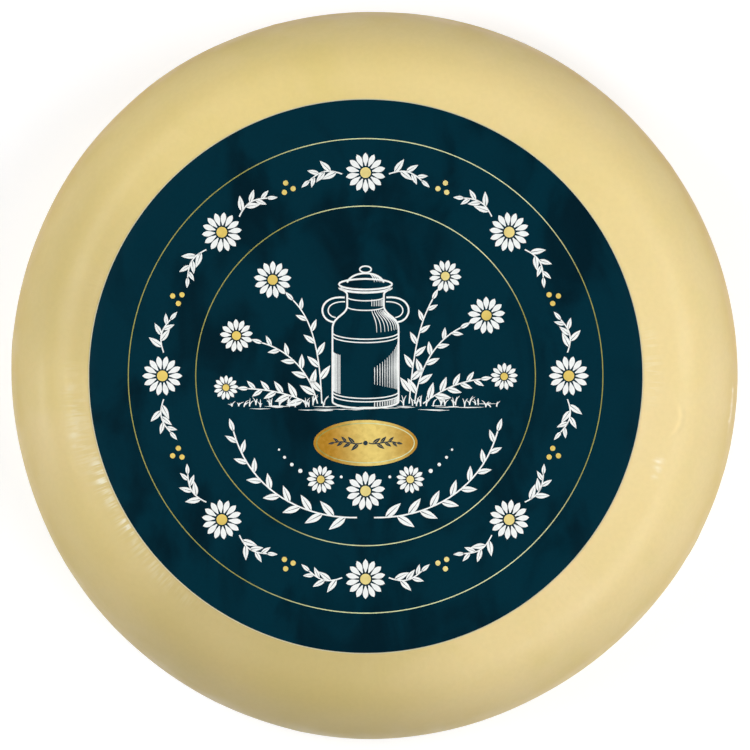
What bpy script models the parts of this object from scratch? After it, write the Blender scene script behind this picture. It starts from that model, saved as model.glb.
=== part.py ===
"""A whole goat cheese wheel with a round printed label on its upper face.

Metres, +Z up. The origin is the centre of the flat base that the wheel lies on.
Run it with blender --background --python part.py, or from Blender's text editor.
"""

import math

import bpy
from mathutils import Vector

# The wheel's driving sizes.
WHEEL_RADIUS = 0.175        # at the widest level of the bulging side
WHEEL_HEIGHT = 0.115        # base to the middle of the upper face
BULGE_LEVEL = 0.054         # the side is widest a little below half height
TOP_FLAT_RADIUS = 0.140     # the upper shoulder starts here
BASE_FLAT_RADIUS = 0.136    # the lower shoulder ends here
TOP_CROWN = 0.0012          # the upper face is this much higher in the middle than at its rim
UPPER_ROUNDNESS = 2.15      # superellipse power of the upper shoulder; 2 is a plain ellipse
LOWER_ROUNDNESS = 2.30

# How far the pressed wheel is from a true round, as (lobes, swing in metres, peak in degrees).
OUTLINE_LOBES = ((2, 0.0002, 105.0), (3, 0.0007, 15.0), (4, 0.0002, 72.0), (7, 0.0001, 12.0))
# Slow rises and dips of the upper face, as (waves across a metre in X and in Y, swing, phase in degrees).
FACE_WAVES = ((3.1, 1.7, 0.00030, 20.0), (-2.2, 4.3, 0.00022, 140.0), (6.4, 3.8, 0.00012, 260.0))
# Slack places of the side, as (lobes round the wheel, swing, peak in degrees, level of the middle).
SIDE_SWELLS = ((3, 0.0007, 70.0, 0.036), (5, 0.0004, 200.0, 0.080))
SWELL_REACH = 0.020         # how far above and below its level a swell fades out

# The label's driving sizes.
LABEL_RADIUS = 0.1302
LABEL_CENTRE = Vector((-0.0039, -0.0006))
LABEL_THICKNESS = 0.0004
LABEL_GAP = 0.0003          # from the coated face to the underside of the label

# Facets.
TURN_STEPS = 96
SHOULDER_STEPS = 11
FACE_RINGS = (0.035, 0.070, 0.100, 0.124)
LABEL_RINGS = 5
MERGE_DISTANCE = 0.00001

COAT_COLOUR = (0.80, 0.66, 0.33, 1.0)
LABEL_COLOUR = (0.002, 0.024, 0.038, 1.0)


def clear_scene():
    for thing in list(bpy.data.objects):
        bpy.data.objects.remove(thing, do_unlink=True)


def finish(name, colour, roughness):
    """A plain Principled finish."""
    material = bpy.data.materials.new(name)
    material.use_nodes = True
    shader = material.node_tree.nodes["Principled BSDF"]
    shader.inputs["Base Color"].default_value = colour
    shader.inputs["Roughness"].default_value = roughness
    shader.inputs["Metallic"].default_value = 0.0
    return material


def smooth_step(low, high, value):
    share = min(1.0, max(0.0, (value - low) / (high - low)))
    return share * share * (3.0 - 2.0 * share)


def crown_drop(radius):
    """How far the upper face lies below its middle at this distance from the axis."""
    share = min(1.0, radius / TOP_FLAT_RADIUS)
    return TOP_CROWN * (1.0 - math.cos(math.pi * share)) / 2.0


def face_wave(x, y):
    """The slow rise or dip of the upper face at a point."""
    turn = 2.0 * math.pi
    return sum(
        swing * math.sin(turn * (across * x + along * y) + math.radians(phase))
        for across, along, swing, phase in FACE_WAVES
    )


def outline_swing(angle):
    """How far the outline stands out from a true circle in this direction."""
    return sum(
        swing * math.cos(lobes * (angle - math.radians(peak)))
        for lobes, swing, peak in OUTLINE_LOBES
    )


def side_swell(angle, level):
    """The soft swells of the side wall."""
    return sum(
        swing * math.cos(lobes * (angle - math.radians(peak)))
        * math.exp(-(((level - middle) / SWELL_REACH) ** 2))
        for lobes, swing, peak, middle in SIDE_SWELLS
    )


def shoulder(flat_radius, flat_level, roundness, steps):
    """Quarter of a superellipse from the rim of a flat face out to the widest level."""
    points = []
    for step in range(steps + 1):
        turn = 0.5 * math.pi * step / steps
        out = math.sin(turn) ** (2.0 / roundness)
        rise = math.cos(turn) ** (2.0 / roundness)
        points.append((
            flat_radius + (WHEEL_RADIUS - flat_radius) * out,
            BULGE_LEVEL + (flat_level - BULGE_LEVEL) * rise,
        ))
    return points


def wheel_profile():
    """Half the wheel's section as (radius, level), from the top of the axis down the outer side to the base."""
    top = [(0.0, WHEEL_HEIGHT)]
    top += [(radius, WHEEL_HEIGHT - crown_drop(radius)) for radius in FACE_RINGS]
    upper = shoulder(TOP_FLAT_RADIUS, WHEEL_HEIGHT - TOP_CROWN, UPPER_ROUNDNESS, SHOULDER_STEPS)
    lower = shoulder(BASE_FLAT_RADIUS, 0.0, LOWER_ROUNDNESS, SHOULDER_STEPS)
    return top + upper + lower[-2::-1] + [(0.0, 0.0)]


def press_out_of_round(point):
    """Moves a point of the true turned shape to its place on the uneven wheel."""
    radius = math.hypot(point.x, point.y)
    if radius < MERGE_DISTANCE:
        return Vector((point.x, point.y, point.z + top_share(point.z) * face_wave(0.0, 0.0)))
    angle = math.atan2(point.y, point.x)
    swing = outline_swing(angle) + side_swell(angle, point.z)
    stretch = 1.0 + smooth_step(0.0, WHEEL_RADIUS, radius) * swing / radius
    x, y = point.x * stretch, point.y * stretch
    return Vector((x, y, point.z + top_share(point.z) * face_wave(x, y)))


def top_share(level):
    """1 on the upper face, fading to 0 at the widest level, so that the base stays flat."""
    return smooth_step(BULGE_LEVEL, WHEEL_HEIGHT - TOP_CROWN, level)


def face_level(x, y):
    """The height of the upper face, inside the rim of the shoulder."""
    return WHEEL_HEIGHT - crown_drop(math.hypot(x, y)) + face_wave(x, y)


def turned(name, profile, collection):
    """The closed or open surface that a profile of (radius, level) pairs makes when it turns once about Z."""
    section = bpy.data.meshes.new(name + "_section")
    points = [(radius, 0.0, level) for radius, level in profile]
    section.from_pydata(points, [(i, i + 1) for i in range(len(points) - 1)], [])
    lathe = bpy.data.objects.new(name + "_lathe", section)
    collection.objects.link(lathe)
    screw = lathe.modifiers.new("Turn", "SCREW")
    screw.steps = TURN_STEPS
    screw.render_steps = TURN_STEPS
    screw.use_merge_vertices = True
    screw.merge_threshold = MERGE_DISTANCE
    graph = bpy.context.evaluated_depsgraph_get()
    mesh = bpy.data.meshes.new_from_object(lathe.evaluated_get(graph))
    mesh.name = name
    bpy.data.objects.remove(lathe, do_unlink=True)
    bpy.data.meshes.remove(section)
    return mesh


def centre_over_origin(mesh):
    """Puts the middle of the outline over the origin, which the lobes move by a fraction of a millimetre."""
    xs = [vertex.co.x for vertex in mesh.vertices]
    ys = [vertex.co.y for vertex in mesh.vertices]
    shift = Vector(((max(xs) + min(xs)) / 2.0, (max(ys) + min(ys)) / 2.0, 0.0))
    for vertex in mesh.vertices:
        vertex.co -= shift


def build_wheel(collection):
    """The solid wheel: its section turned about Z, then pressed a little out of round."""
    mesh = turned("cheese_wheel", wheel_profile(), collection)
    for vertex in mesh.vertices:
        vertex.co = press_out_of_round(vertex.co)
    centre_over_origin(mesh)
    mesh.materials.append(finish("coat", COAT_COLOUR, 0.38))
    mesh.shade_smooth()
    mesh.set_sharp_from_angle(angle=math.radians(40.0))
    wheel = bpy.data.objects.new("cheese_wheel", mesh)
    collection.objects.link(wheel)
    return wheel


def build_label(collection):
    """The round label: one thin sheet that follows the face under it."""
    flat = [(LABEL_RADIUS * ring / LABEL_RINGS, 0.0) for ring in range(LABEL_RINGS + 1)]
    mesh = turned("label", flat, collection)
    for vertex in mesh.vertices:
        x = vertex.co.x + LABEL_CENTRE.x
        y = vertex.co.y + LABEL_CENTRE.y
        vertex.co = Vector((x, y, face_level(x, y) + LABEL_GAP))
    mesh.materials.append(finish("label_paper", LABEL_COLOUR, 0.5))
    label = bpy.data.objects.new("label", mesh)
    collection.objects.link(label)
    wall = label.modifiers.new("Thickness", "SOLIDIFY")
    wall.thickness = LABEL_THICKNESS
    wall.offset = 1.0
    return label


def main():
    clear_scene()
    collection = bpy.data.collections.new("goat_cheese_wheel")
    bpy.context.scene.collection.children.link(collection)
    build_wheel(collection)
    build_label(collection)


main()
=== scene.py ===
import math
import random

import bmesh
import bpy
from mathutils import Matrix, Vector


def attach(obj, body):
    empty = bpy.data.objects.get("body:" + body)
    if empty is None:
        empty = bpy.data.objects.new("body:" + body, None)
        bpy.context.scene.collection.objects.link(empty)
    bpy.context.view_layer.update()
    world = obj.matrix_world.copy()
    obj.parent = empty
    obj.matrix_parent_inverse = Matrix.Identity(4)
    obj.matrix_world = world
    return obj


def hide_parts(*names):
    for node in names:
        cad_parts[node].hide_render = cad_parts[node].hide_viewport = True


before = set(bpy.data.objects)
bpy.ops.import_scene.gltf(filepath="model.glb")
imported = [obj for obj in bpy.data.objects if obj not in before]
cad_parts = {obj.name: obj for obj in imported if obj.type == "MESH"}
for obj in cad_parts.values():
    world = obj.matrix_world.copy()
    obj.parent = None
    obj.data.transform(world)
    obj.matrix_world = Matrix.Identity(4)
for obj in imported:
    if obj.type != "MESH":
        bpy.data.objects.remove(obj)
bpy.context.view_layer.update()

mm = 0.001
halfTurn = math.pi
quarterTurn = math.pi / 2.0
fullTurn = 2.0 * math.pi


# Small helpers for node trees

# Adds a node. Inputs are given by socket name or number, as a value or as another node's socket.
def addNode(tree, kind, inputs=None, **settings):
    node = tree.nodes.new(kind)
    for name, value in settings.items():
        setattr(node, name, value)
    for key, value in (inputs or {}).items():
        if isinstance(value, bpy.types.NodeSocket):
            tree.links.new(value, node.inputs[key])
        else:
            node.inputs[key].default_value = value
    return node


def calc(tree, operation, *values):
    return addNode(tree, "ShaderNodeMath", dict(enumerate(values)), operation=operation).outputs[0]


def squared(tree, value):
    return calc(tree, "MULTIPLY", value, value)


def sumOf(tree, values):
    total = values[0]
    for value in values[1:]:
        total = calc(tree, "ADD", total, value)
    return total


def productOf(tree, values):
    total = values[0]
    for value in values[1:]:
        total = calc(tree, "MULTIPLY", total, value)
    return total


# Takes a value from one range to another. A smooth one eases in and out at both ends.
def rangeOf(tree, value, low, high, newLow=0.0, newHigh=1.0, smooth=True):
    names = ("Value", "From Min", "From Max", "To Min", "To Max")
    inputs = dict(zip(names, (value, low, high, newLow, newHigh)))
    kind = "SMOOTHSTEP" if smooth else "LINEAR"
    return addNode(tree, "ShaderNodeMapRange", inputs, interpolation_type=kind).outputs["Result"]


# A soft hump of height 1 round a middle, which falls off on both sides over its width.
def humpOf(tree, value, middle, width):
    away = calc(tree, "DIVIDE", calc(tree, "SUBTRACT", value, middle), width)
    return calc(tree, "EXPONENT", calc(tree, "MULTIPLY", squared(tree, away), -1.0))


def vectorOf(tree, x=0.0, y=0.0, z=0.0):
    return addNode(tree, "ShaderNodeCombineXYZ", {"X": x, "Y": y, "Z": z}).outputs[0]


def partsOf(tree, vector):
    return addNode(tree, "ShaderNodeSeparateXYZ", {0: vector}).outputs


def vectorCalc(tree, operation, *values):
    node = addNode(tree, "ShaderNodeVectorMath", dict(enumerate(values)), operation=operation)
    gives = "Value" if operation in ("LENGTH", "DISTANCE", "DOT_PRODUCT") else "Vector"
    return node.outputs[gives]


# A vector made longer, or a colour made brighter, by a factor.
def scaled(tree, vector, factor):
    return addNode(tree, "ShaderNodeVectorMath", {0: vector, "Scale": factor}, operation="SCALE").outputs[0]


# Noise between 0 and 1 at a number of features in a metre, or in a unit of the vector.
def noiseOf(tree, vector, scale, detail=2.0, roughness=0.5, distortion=0.0):
    inputs = {"Vector": vector, "Scale": scale, "Detail": detail, "Roughness": roughness}
    inputs["Distortion"] = distortion
    return addNode(tree, "ShaderNodeTexNoise", inputs).outputs[0]


# Makes a noise, which mostly lies between 0.3 and 0.7, swing between two values.
def spreadOf(tree, noise, low, high):
    return rangeOf(tree, noise, 0.3, 0.7, low, high)


def grainOf(tree, vector, scale, detail, low, high):
    return spreadOf(tree, noiseOf(tree, vector, scale, detail), low, high)


# The direction that lies at this many degrees, as its X and Y.
def towards(degrees):
    return math.cos(math.radians(degrees)), math.sin(math.radians(degrees))


# Small helpers for Geometry Nodes

# A tree with one named input for each size, and the sockets that bring them in.
def newTree(name, sizes):
    tree = bpy.data.node_groups.new(name, "GeometryNodeTree")
    kinds = {float: "Float", int: "Int", bpy.types.Object: "Object", bpy.types.Material: "Material"}
    tree.interface.new_socket("Geometry", in_out="INPUT", socket_type="NodeSocketGeometry")
    tree.interface.new_socket("Geometry", in_out="OUTPUT", socket_type="NodeSocketGeometry")
    for label, value in sizes.items():
        kind = next(word for base, word in kinds.items() if isinstance(value, base))
        socket = tree.interface.new_socket(label, in_out="INPUT", socket_type="NodeSocket" + kind)
        if isinstance(value, (float, int)):
            socket.default_value = value
    return tree, tree.nodes.new("NodeGroupInput").outputs


# Ends a tree: its instances become real, and the result, or the chosen part of it, gets its finish.
def endTree(tree, geometry, material, chosen=True):
    real = addNode(tree, "GeometryNodeRealizeInstances", {0: geometry}).outputs[0]
    inputs = {"Geometry": real, "Selection": chosen, "Material": material}
    finished = addNode(tree, "GeometryNodeSetMaterial", inputs).outputs[0]
    addNode(tree, "NodeGroupOutput", {0: finished})


# Runs a tree with its inputs set, and gives the result as a plain mesh.
def meshFromTree(name, tree, sizes):
    holder = bpy.data.objects.new(name + "_holder", bpy.data.meshes.new(name + "_holder"))
    bpy.context.scene.collection.objects.link(holder)
    modifier = holder.modifiers.new(tree.name, "NODES")
    modifier.node_group = tree
    for socket in tree.interface.items_tree:
        if socket.in_out == "INPUT" and socket.name in sizes:
            modifier[socket.identifier] = sizes[socket.name]
    graph = bpy.context.evaluated_depsgraph_get()
    formed = holder.evaluated_get(graph)
    mesh = bpy.data.meshes.new_from_object(formed, preserve_all_data_layers=True, depsgraph=graph)
    mesh.name = name
    holder.modifiers.remove(modifier)
    bpy.data.objects.remove(holder, do_unlink=True)
    return mesh


def ownPlace(tree):
    return addNode(tree, "GeometryNodeInputPosition").outputs[0]


def ownIndex(tree):
    return addNode(tree, "GeometryNodeInputIndex").outputs[0]


def putAt(tree, geometry, place):
    return addNode(tree, "GeometryNodeSetPosition", {"Geometry": geometry, "Position": place}).outputs[0]


def mergeClose(tree, geometry, distance):
    inputs = {"Geometry": geometry, "Distance": distance}
    return addNode(tree, "GeometryNodeMergeByDistance", inputs).outputs[0]


def smoothShaded(tree, geometry):
    return addNode(tree, "GeometryNodeSetShadeSmooth", {"Geometry": geometry}).outputs[0]


def joinAll(tree, parts):
    node = addNode(tree, "GeometryNodeJoinGeometry")
    for part in parts:
        tree.links.new(part, node.inputs[0])
    return node.outputs[0]


# A flat grid that is to be turned about Z, and the ring and the angle of each of its points.
def ringGrid(tree, rings, steps):
    counts = {"Size X": 1.0, "Size Y": 1.0}
    counts["Vertices X"] = calc(tree, "ADD", rings, 1.0)
    counts["Vertices Y"] = calc(tree, "ADD", steps, 1.0)
    grid = addNode(tree, "GeometryNodeMeshGrid", counts).outputs["Mesh"]
    x, y = partsOf(tree, ownPlace(tree))[:2]
    ring = calc(tree, "MULTIPLY", calc(tree, "ADD", x, 0.5), rings)
    angle = calc(tree, "MULTIPLY", calc(tree, "ADD", y, 0.5), fullTurn)
    return grid, ring, angle


def linkPiece(name, mesh):
    piece = bpy.data.objects.new(name, mesh)
    bpy.context.scene.collection.objects.link(piece)
    return piece


# Small helpers for materials

# A new material with its tree, its shader and the place on the object that every pattern here reads.
def newMaterial(name):
    material = bpy.data.materials.new(name)
    material.use_nodes = True
    tree = material.node_tree
    place = addNode(tree, "ShaderNodeTexCoord").outputs["Object"]
    return material, tree, tree.nodes["Principled BSDF"], place


# Mixes two colours by a factor. Either one may be a socket.
def blendColours(tree, factor, first, second, blend="MIX"):
    inputs = {0: factor, 6: first, 7: second}
    return addNode(tree, "ShaderNodeMix", inputs, data_type="RGBA", blend_type=blend).outputs[2]


# Chains bumps, the coarsest first. Each one is (height, how far its full height stands up in metres).
def bumpChain(tree, shader, layers):
    normal = None
    for height, distance in layers:
        inputs = {"Strength": 1.0, "Distance": distance, "Height": height}
        if normal is not None:
            inputs["Normal"] = normal
        normal = addNode(tree, "ShaderNodeBump", inputs).outputs[0]
    tree.links.new(normal, shader.inputs["Normal"])


# Camera: straight above, as in the photo

cameraView = {
    "height": 2.254,                 # metres above the floor, 2.2 above the widest level of the wheel
    "aim": (0.00045, 0.00001),       # what lies under the middle of the picture
    "frameWidth": 0.3620,            # metres across the picture at the widest level
    "widestLevel": 0.054,
}


def makeCamera():
    lens = bpy.data.cameras.new("overhead_camera")
    reach = cameraView["height"] - cameraView["widestLevel"]
    lens.sensor_width = 36.0
    lens.lens = lens.sensor_width * reach / cameraView["frameWidth"]
    lens.clip_start = 0.05
    lens.clip_end = 50.0
    camera = bpy.data.objects.new("overhead_camera", lens)
    camera.location = (*cameraView["aim"], cameraView["height"])
    bpy.context.scene.collection.objects.link(camera)
    bpy.context.scene.camera = camera


makeCamera()
print("camera ready")


# Sizes of the label, which the coating puckers round

labelSizes = {
    "Label X": -0.0039,
    "Label Y": -0.0006,
    "Label Radius": 0.1302,
    "Paper Thickness": 0.00050,
    "Sunk": 0.00005,              # how deep the coating holds it
    "Edge Round": 0.00035,        # the worn edge of the paper, where its core shows
    "Edge Drop": 0.00012,
    "Turn Steps": 480,
    "Rings": 26,
}


# How far each place lies beyond the label's edge, and in which direction from the label's middle.
# The sizes are the dictionary itself or a tree's own inputs.
def beyondLabel(tree, place, sizes):
    x, y = partsOf(tree, place)[:2]
    x = calc(tree, "SUBTRACT", x, sizes["Label X"])
    y = calc(tree, "SUBTRACT", y, sizes["Label Y"])
    away = vectorOf(tree, x, y)
    beyond = calc(tree, "SUBTRACT", vectorCalc(tree, "LENGTH", away), sizes["Label Radius"])
    return beyond, vectorCalc(tree, "NORMALIZE", away)


# Noise in streaks that run away from the label. Turns is how many streaks fit in the label's radius.
def labelStreaks(tree, beyond, direction, turns, stretch, seed):
    outward = vectorOf(tree, 0.0, 0.0, calc(tree, "MULTIPLY_ADD", beyond, stretch, seed))
    return noiseOf(tree, vectorCalc(tree, "ADD", scaled(tree, direction, turns), outward), 1.0, 1.0)


# Coating: straw yellow, brushed on and satin

coatLook = {
    "straw": (0.795, 0.634, 0.276, 1.0),
    "butter": (0.845, 0.672, 0.325, 1.0),     # warmer, paler clouds
    "hay": (0.765, 0.615, 0.240, 1.0),        # greener, thinner places
    "hayShare": 0.5,
    "sideShade": (0.845, 0.795, 0.555, 1.0),   # painted shade: darker and yellower on the side
    "sideShadeLevels": (0.084, 0.108),
    "backShade": (0.880, 0.785, 0.600, 1.0),   # painted shade, deepest on the right and at the back
    "backShadeLevels": (0.074, 0.096),
    "backShadePatch": (80.0, -0.70, 1.0),          # its direction in degrees, cosine where it starts, strength
    "glintColour": (0.99, 0.92, 0.68, 1.0),         # painted glints on the puckers, the shoulder and the rim
    "paintedLightDrift": (0.83, 0.55, 0.897),             # painted light: tone gained to the right and to the back, and its middle
    # painted sheen: blue gained to the right and towards the front, and its middle
    "paintedBlueDrift": (0.42, -0.19, 0.985),
    "paintedBlueSwing": 0.065,                       # painted sheen: paler to the left and right than in front and at the back
    "brushPitch": (0.045, 0.0042),            # length and height of the brush marks round the side
    "brushTone": (0.972, 1.022),
    "brushLevels": (0.066, 0.092),            # they fade out towards the face
    "streakPitch": 0.0012,                    # of the flecks round the label
    "streakStretch": 90.0,
    "streakSeed": 3.0,
    "glintWobble": 0.0024,                     # how far the edges of the painted glints wander
    "ridgeHighlightWidth": 0.0010,
    "ridgePaintedShade": (0.0021, 0.0011, -0.55),    # painted shade, a darker line beside a ridge: how far out, width, share
    "roughness": (0.39, 0.51),
    "specular": 0.20,
    "subsurface": 0.10,
    "subsurfaceRadius": (1.0, 0.62, 0.28),
    "subsurfaceScale": 0.004,
    "coatWeight": 0.06,
    "coatRoughness": 0.28,
    "faintWrinkles": (0.003, 0.018, 0.14),    # from and to how far beyond the label, and how strong
}
# Patches of painted light and shade as (direction in degrees, cosine where it starts, strength), from face to
# base and then on the face alone
paintedLightPatches = ((198.0, 0.80, 0.06), (254.0, 0.78, -0.07), (318.0, 0.80, 0.03), (138.0, 0.80, 0.04))
paintedFacePatches = ((250.0, 0.70, -0.085), (72.0, 0.75, -0.050), (160.5, 0.93, -0.075), (352.0, 0.82, 0.030))
# Where the coating is puckered, which also places painted glints: in the same form, then how far beyond the
# label and how wide a band
puckerPatches = (
    (201.8, 0.9925, 1.50, 0.0026, 0.0024),
    (212.0, 0.9990, 1.10, 0.0022, 0.0018),
    (217.0, 0.9800, 0.30, 0.0030, 0.0036),
    (187.0, 0.9750, 0.18, 0.0085, 0.0036),
    (194.0, 0.9700, 0.20, 0.0050, 0.0040),
    (228.0, 0.9900, 0.20, 0.0030, 0.0036),
    (2.0, 0.9850, 0.13, 0.0045, 0.0040),
)
# Painted glints: pale marks that stand for highlights on the coating, as (direction in degrees, distance from
# the axis, half length along the rim, half width, strength)
paintedGlintMarks = (
    (182.5, 0.1424, 0.0020, 0.0024, 0.34),
    (187.5, 0.1439, 0.0016, 0.0022, 0.24),
    (188.9, 0.1420, 0.0010, 0.0034, 0.34),
    (191.5, 0.1437, 0.0020, 0.0026, 0.50),
    (193.3, 0.1450, 0.0010, 0.0016, 0.40),
    (343.2, 0.1397, 0.0013, 0.0021, 0.66),
    (341.7, 0.1401, 0.0012, 0.0019, 0.54),
    (340.0, 0.1400, 0.0010, 0.0016, 0.36),
    (354.5, 0.1704, 0.0080, 0.0015, 0.55),
    (357.7, 0.1707, 0.0011, 0.0014, 0.45),
    (352.5, 0.1699, 0.0014, 0.0015, 0.30),
)
# Single soft ridges, as (direction in degrees, distance from the axis, half length, how much further out
# their upper end lies, how far their middle bows out, lowest level, height, strength of the painted
# highlight)
softRidges = (
    (-8.4, 0.1449, 0.0105, 0.0006, 0.0040, 0.102, 0.00030, 0.07),
    (-5.3, 0.1704, 0.0120, 0.0002, 0.0000, 0.072, 0.00022, 0.03),
    (183.7, 0.1445, 0.0150, 0.0009, 0.0010, 0.102, 0.00018, 0.02),
    (196.7, 0.1481, 0.0070, 0.0010, 0.0010, 0.102, 0.00012, 0.02),
)
ridgeFade = 0.008    # metres above its lowest level at which a ridge has its full height


# The level of the turned form at a distance from its axis, above its widest level.
def levelAt(distance):
    flat, roundness = wheelSizes["Top Flat Radius"], wheelSizes["Upper Roundness"]
    shoulder = wheelSizes["Wheel Height"] - wheelSizes["Top Crown"]
    share = max(distance - flat, 0.0) / (wheelSizes["Wheel Radius"] - flat)
    rise = (shoulder - wheelSizes["Bulge Level"]) * (1.0 - share ** roundness) ** (1.0 / roundness)
    return wheelSizes["Bulge Level"] + rise


# Adds up the painted glints. A slow wobble keeps their edges from being plain ovals.
def paintedGlintSum(tree, place):
    wobble = Vector((1.0, 1.0, 1.0)) * coatLook["glintWobble"]
    noise = addNode(tree, "ShaderNodeTexNoise", {"Vector": place, "Scale": 260.0, "Detail": 1.0})
    bent = vectorCalc(tree, "MULTIPLY_ADD", noise.outputs["Color"], wobble, place)
    marks = []
    for degrees, distance, half, width, strength in paintedGlintMarks:
        cosine, sine = towards(degrees)
        middle = Vector((distance * cosine, distance * sine, levelAt(distance))) + wobble / 2.0
        away = vectorCalc(tree, "SUBTRACT", bent, middle)
        along = vectorCalc(tree, "DOT_PRODUCT", away, (-sine, cosine, 0.0))
        whole = vectorCalc(tree, "DOT_PRODUCT", away, away)
        stretch = calc(tree, "MULTIPLY", squared(tree, along), half ** -2 - width ** -2)
        spread = calc(tree, "MULTIPLY_ADD", whole, width ** -2, stretch)
        hump = calc(tree, "EXPONENT", calc(tree, "MULTIPLY", spread, -1.0))
        marks.append(calc(tree, "MULTIPLY", hump, strength))
    return sumOf(tree, marks)


# Adds up the ridges, either by their height or by the strength of their painted highlight.
def ridgeSum(tree, place, width, paler=False, shift=0.0):
    x, y, z = partsOf(tree, place)
    out = vectorCalc(tree, "LENGTH", vectorOf(tree, x, y))
    ridges = []
    for degrees, distance, half, slant, bowed, lowest, height, highlightStrength in softRidges:
        cosine, sine = towards(degrees)
        along = calc(tree, "SUBTRACT", calc(tree, "MULTIPLY", y, cosine), calc(tree, "MULTIPLY", x, sine))
        outward = calc(tree, "ADD", calc(tree, "MULTIPLY", x, cosine), calc(tree, "MULTIPLY", y, sine))
        share = calc(tree, "DIVIDE", along, half if cosine > 0.0 else -half)
        bend = calc(tree, "MULTIPLY_ADD", share, slant, calc(tree, "MULTIPLY", squared(tree, share), -bowed))
        hump = humpOf(tree, calc(tree, "SUBTRACT", out, bend), distance + shift, width)
        kept = rangeOf(tree, calc(tree, "ABSOLUTE", along), half * 0.3, half, 1.0, 0.0)
        above = rangeOf(tree, z, lowest, lowest + ridgeFade)
        ahead = calc(tree, "GREATER_THAN", outward, 0.0)
        ridges.append(productOf(tree, (hump, kept, above, ahead, highlightStrength if paler else height)))
    return sumOf(tree, ridges)


# Adds up the patches at each place, from the direction in which it lies.
def patchSum(tree, direction, patches):
    shares = []
    for degrees, edge, strength in patches:
        facing = vectorCalc(tree, "DOT_PRODUCT", direction, (*towards(degrees), 0.0))
        shares.append(rangeOf(tree, facing, edge, 1.0, 0.0, strength))
    return sumOf(tree, shares)


# Adds up the puckered patches.
def puckerSum(tree, direction, beyond):
    shares = []
    for degrees, edge, strength, distance, width in puckerPatches:
        here = patchSum(tree, direction, ((degrees, edge, strength),))
        shares.append(calc(tree, "MULTIPLY", here, humpOf(tree, beyond, distance, width)))
    return sumOf(tree, shares)


# The coating's colour: clouds of three tones, with painted shade that makes it darker and yellower on the
# side and deepest at the back of it.
def coatColour(tree, place, around, side):
    level = partsOf(tree, place)["Z"]
    clouds = rangeOf(tree, noiseOf(tree, place, 9.0, 2.0), 0.36, 0.66)
    thin = rangeOf(tree, noiseOf(tree, place, 23.0, 2.0, 0.5, 0.4), 0.50, 0.76)
    colour = blendColours(tree, clouds, coatLook["straw"], coatLook["butter"])
    colour = blendColours(tree, calc(tree, "MULTIPLY", thin, coatLook["hayShare"]), colour, coatLook["hay"])
    # Painted shade on the side.
    colour = blendColours(tree, side, colour, coatLook["sideShade"], "MULTIPLY")
    # Painted shade low on the side at the back.
    below = rangeOf(tree, level, *coatLook["backShadeLevels"], 1.0, 0.0)
    deep = calc(tree, "MULTIPLY", below, patchSum(tree, around, (coatLook["backShadePatch"],)))
    return blendColours(tree, deep, colour, coatLook["backShade"], "MULTIPLY")


# The marks of the brush that went round the side, and how strongly they show at each level.
def brushMarks(tree, place, around):
    level = partsOf(tree, place)["Z"]
    markLength, markHeight = coatLook["brushPitch"]
    turned = scaled(tree, around, wheelSizes["Wheel Radius"] / markLength)
    upward = vectorOf(tree, 0.0, 0.0, calc(tree, "DIVIDE", level, markHeight))
    brushed = noiseOf(tree, vectorCalc(tree, "ADD", turned, upward), 1.0, 3.0, 0.55, 0.3)
    return brushed, rangeOf(tree, level, *coatLook["brushLevels"], 1.0, 0.0)


# Painted glints: pale flecks on the puckers, and the pale marks.
def coatGlintFlecks(tree, place, streaks, puckered):
    broken = rangeOf(tree, noiseOf(tree, place, 170.0, 1.0), 0.36, 0.58, 0.45, 1.0)
    flecks = productOf(tree, (rangeOf(tree, streaks, 0.44, 0.62), broken, puckered, 0.95))
    glinting = calc(tree, "MULTIPLY", paintedGlintSum(tree, place), spreadOf(tree, streaks, 0.55, 1.0))
    return calc(tree, "MAXIMUM", flecks, glinting)


# A value that grows to the right and to the back, for painted light. Its numbers are (gain in X, gain in Y,
# middle).
def driftOf(tree, place, paintedLightDrift):
    x, y = partsOf(tree, place)[:2]
    gainX, gainY, middle = paintedLightDrift
    return calc(tree, "MULTIPLY_ADD", x, gainX, calc(tree, "MULTIPLY_ADD", y, gainY, middle))


# Painted light and shade: the slow changes of tone across the wheel, with blue apart from red and green, over
# the coating's own freckles and brush tint.
def paintedCoatLight(tree, place, direction, side, tint):
    freckles = rangeOf(tree, noiseOf(tree, place, 420.0, 2.0), 0.25, 0.75, 0.985, 1.01)
    # Painted light: brighter to the right and to the back.
    paintedLightDrift = driftOf(tree, place, coatLook["paintedLightDrift"])
    face = calc(tree, "SUBTRACT", 1.0, side)
    onFace = calc(tree, "MULTIPLY", patchSum(tree, direction, paintedFacePatches), face)
    # Painted light and shade in patches by direction.
    patches = sumOf(tree, (patchSum(tree, direction, paintedLightPatches), onFace, 1.0))
    # Each ridge's crest gets a painted highlight, and the line beside it painted shade.
    shift, width, share = coatLook["ridgePaintedShade"]
    crest = ridgeSum(tree, place, coatLook["ridgeHighlightWidth"], True)
    beside = calc(tree, "MULTIPLY", ridgeSum(tree, place, width, True, shift), share)
    ridges = sumOf(tree, (crest, beside, 1.0))
    tone = productOf(tree, (freckles, paintedLightDrift, patches, ridges, tint))
    # Painted sheen in the blue.
    aside = partsOf(tree, direction)["X"]
    lobes = calc(tree, "MULTIPLY_ADD", squared(tree, aside), 2.0, -1.0)
    paintedBlueDrift = driftOf(tree, place, coatLook["paintedBlueDrift"])
    blue = calc(tree, "MULTIPLY_ADD", lobes, coatLook["paintedBlueSwing"], paintedBlueDrift)
    return vectorOf(tree, tone, tone, calc(tree, "MULTIPLY", tone, blue))


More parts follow.
